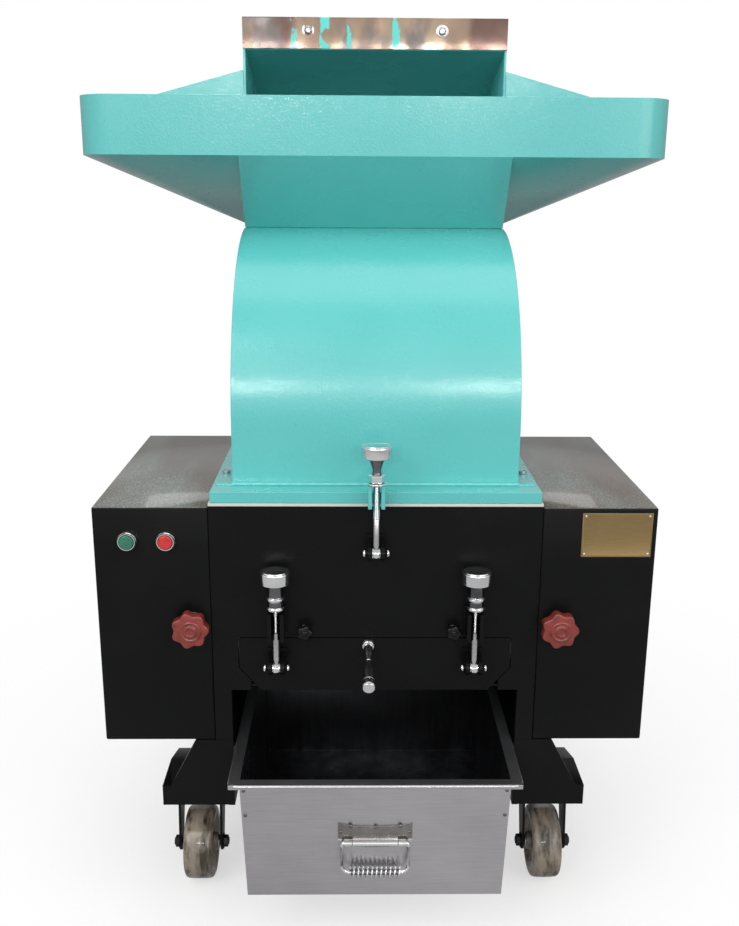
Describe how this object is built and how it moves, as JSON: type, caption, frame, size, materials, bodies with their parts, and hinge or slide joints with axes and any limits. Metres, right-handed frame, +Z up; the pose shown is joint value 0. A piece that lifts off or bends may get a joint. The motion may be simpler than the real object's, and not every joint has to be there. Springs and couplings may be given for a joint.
{
  "type": "plastic crusher",
  "caption": "Plastic crusher with a teal hopper and arched chamber on a black body, swing clamps, steel drawer and casters",
  "frame": {"origin": "on the floor under the middle of the bounding box", "axes": "+Z up, the front faces -Y, +X to the right seen from the front"},
  "size_m": [0.982, 0.7783, 1.461],
  "materials": {
    "teal_paint": "gloss",
    "black_paint": "gloss",
    "chrome": "polished",
    "stainless": "brushed",
    "wheel_nylon": "dirty",
    "star_red": "gloss",
    "start_green": "gloss",
    "stop_red": "gloss"
  },
  "bodies": {
    "machine": {"base_frame_left": "black_paint", "base_frame_right": "black_paint", "rear_plate": "black_paint", "front_plate": "black_paint", "side_plate_left": "black_paint", "side_plate_right": "black_paint", "guard_box_left": "black_paint", "guard_box_right": "black_paint", "chamber_flange": "teal_paint", "upper_chamber": "teal_paint", "hopper_tray": "teal_paint", "hopper_hood": "teal_paint", "hood_strip": "stainless", "cover_plate_left": "teal_paint", "cover_plate_right": "teal_paint", "clevis_top": "black_paint", "clamp_fork_left": "black_paint", "clamp_fork_right": "black_paint", "start_bezel": "chrome", "stop_bezel": "chrome", "rotor": "stainless"},
    "drawer": {"drawer_bin": "stainless", "handle_plate": "stainless"},
    "drawer_handle": {"drawer_bail": "chrome", "bail_grip": "chrome"},
    "door": {"screen_door": "black_paint", "door_pull": "chrome", "clevis_left": "black_paint", "clevis_right": "black_paint"},
    "bolt_arm_top": {"bolt_top": "chrome"},
    "bolt_nut_top": {"bolt_knob_top": "chrome"},
    "bolt_arm_left": {"bolt_left": "chrome"},
    "bolt_nut_left": {"bolt_knob_left": "chrome"},
    "bolt_arm_right": {"bolt_right": "chrome"},
    "bolt_nut_right": {"bolt_knob_right": "chrome"},
    "star_left": {"star_knob_left": "star_red"},
    "star_right": {"star_knob_right": "star_red"},
    "start_push": {"start_button": "start_green"},
    "stop_push": {"stop_button": "stop_red"},
    "swivel_front_left": {"caster_front_left_fork": "black_paint"},
    "wheel_front_left": {"caster_front_left_wheel": "wheel_nylon"},
    "swivel_front_right": {"caster_front_right_fork": "black_paint"},
    "wheel_front_right": {"caster_front_right_wheel": "wheel_nylon"},
    "swivel_rear_left": {"caster_rear_left_fork": "black_paint"},
    "wheel_rear_left": {"caster_rear_left_wheel": "wheel_nylon"},
    "swivel_rear_right": {"caster_rear_right_fork": "black_paint"},
    "wheel_rear_right": {"caster_rear_right_wheel": "wheel_nylon"}
  },
  "joints": [
    {"name": "drawer_slide", "type": "slide", "parent": "machine", "child": "drawer", "axis": [0, -1, 0], "range_m": [-0.11, 0.26]},
    {"name": "handle_fold", "type": "hinge", "parent": "drawer", "child": "drawer_handle", "pos_m": [0, -0.38125, 0.201], "axis": [-1, 0, 0], "range_deg": [0, 90]},
    {"name": "door_swing", "type": "hinge", "parent": "machine", "child": "door", "pos_m": [0, -0.24475, 0.401], "axis": [1, 0, 0], "range_deg": [0, 85]},
    {"name": "bolt_swing_top", "type": "hinge", "parent": "machine", "child": "bolt_arm_top", "pos_m": [0, -0.28075, 0.641], "axis": [1, 0, 0], "range_deg": [0, 105]},
    {"name": "bolt_turn_top", "type": "hinge", "parent": "bolt_arm_top", "child": "bolt_nut_top", "pos_m": [0, -0.28075, 0.79], "axis": [0, 0, 1], "continuous": true},
    {"name": "bolt_swing_left", "type": "hinge", "parent": "door", "child": "bolt_arm_left", "pos_m": [-0.156, -0.28075, 0.449], "axis": [1, 0, 0], "range_deg": [0, 105]},
    {"name": "bolt_turn_left", "type": "hinge", "parent": "bolt_arm_left", "child": "bolt_nut_left", "pos_m": [-0.156, -0.28075, 0.59], "axis": [0, 0, 1], "continuous": true},
    {"name": "bolt_swing_right", "type": "hinge", "parent": "door", "child": "bolt_arm_right", "pos_m": [0.156, -0.28075, 0.449], "axis": [1, 0, 0], "range_deg": [0, 105]},
    {"name": "bolt_turn_right", "type": "hinge", "parent": "bolt_arm_right", "child": "bolt_nut_right", "pos_m": [0.156, -0.28075, 0.59], "axis": [0, 0, 1], "continuous": true},
    {"name": "star_turn_left", "type": "hinge", "parent": "machine", "child": "star_left", "pos_m": [-0.29, -0.27075, 0.513], "axis": [0, -1, 0], "continuous": true},
    {"name": "star_turn_right", "type": "hinge", "parent": "machine", "child": "star_right", "pos_m": [0.29, -0.27075, 0.513], "axis": [0, -1, 0], "continuous": true},
    {"name": "start_press", "type": "slide", "parent": "machine", "child": "start_push", "axis": [0, 1, 0], "range_m": [0, 0.004], "stiffness_N_per_m": 400},
    {"name": "stop_press", "type": "slide", "parent": "machine", "child": "stop_push", "axis": [0, 1, 0], "range_m": [0, 0.004], "stiffness_N_per_m": 400},
    {"name": "caster_swivel_front_left", "type": "hinge", "parent": "machine", "child": "swivel_front_left", "pos_m": [-0.302, -0.14575, 0.17], "axis": [0, 0, 1], "continuous": true},
    {"name": "caster_roll_front_left", "type": "hinge", "parent": "swivel_front_left", "child": "wheel_front_left", "pos_m": [-0.302, -0.17575, 0.06196], "axis": [1, 0, 0], "continuous": true},
    {"name": "caster_swivel_front_right", "type": "hinge", "parent": "machine", "child": "swivel_front_right", "pos_m": [0.302, -0.14575, 0.17], "axis": [0, 0, 1], "continuous": true},
    {"name": "caster_roll_front_right", "type": "hinge", "parent": "swivel_front_right", "child": "wheel_front_right", "pos_m": [0.302, -0.17575, 0.06196], "axis": [1, 0, 0], "continuous": true},
    {"name": "caster_swivel_rear_left", "type": "hinge", "parent": "machine", "child": "swivel_rear_left", "pos_m": [-0.302, 0.29925, 0.17], "axis": [0, 0, 1], "continuous": true},
    {"name": "caster_roll_rear_left", "type": "hinge", "parent": "swivel_rear_left", "child": "wheel_rear_left", "pos_m": [-0.302, 0.26925, 0.06196], "axis": [1, 0, 0], "continuous": true},
    {"name": "caster_swivel_rear_right", "type": "hinge", "parent": "machine", "child": "swivel_rear_right", "pos_m": [0.302, 0.29925, 0.17], "axis": [0, 0, 1], "continuous": true},
    {"name": "caster_roll_rear_right", "type": "hinge", "parent": "swivel_rear_right", "child": "wheel_rear_right", "pos_m": [0.302, 0.26925, 0.06196], "axis": [1, 0, 0], "continuous": true}
  ]
}
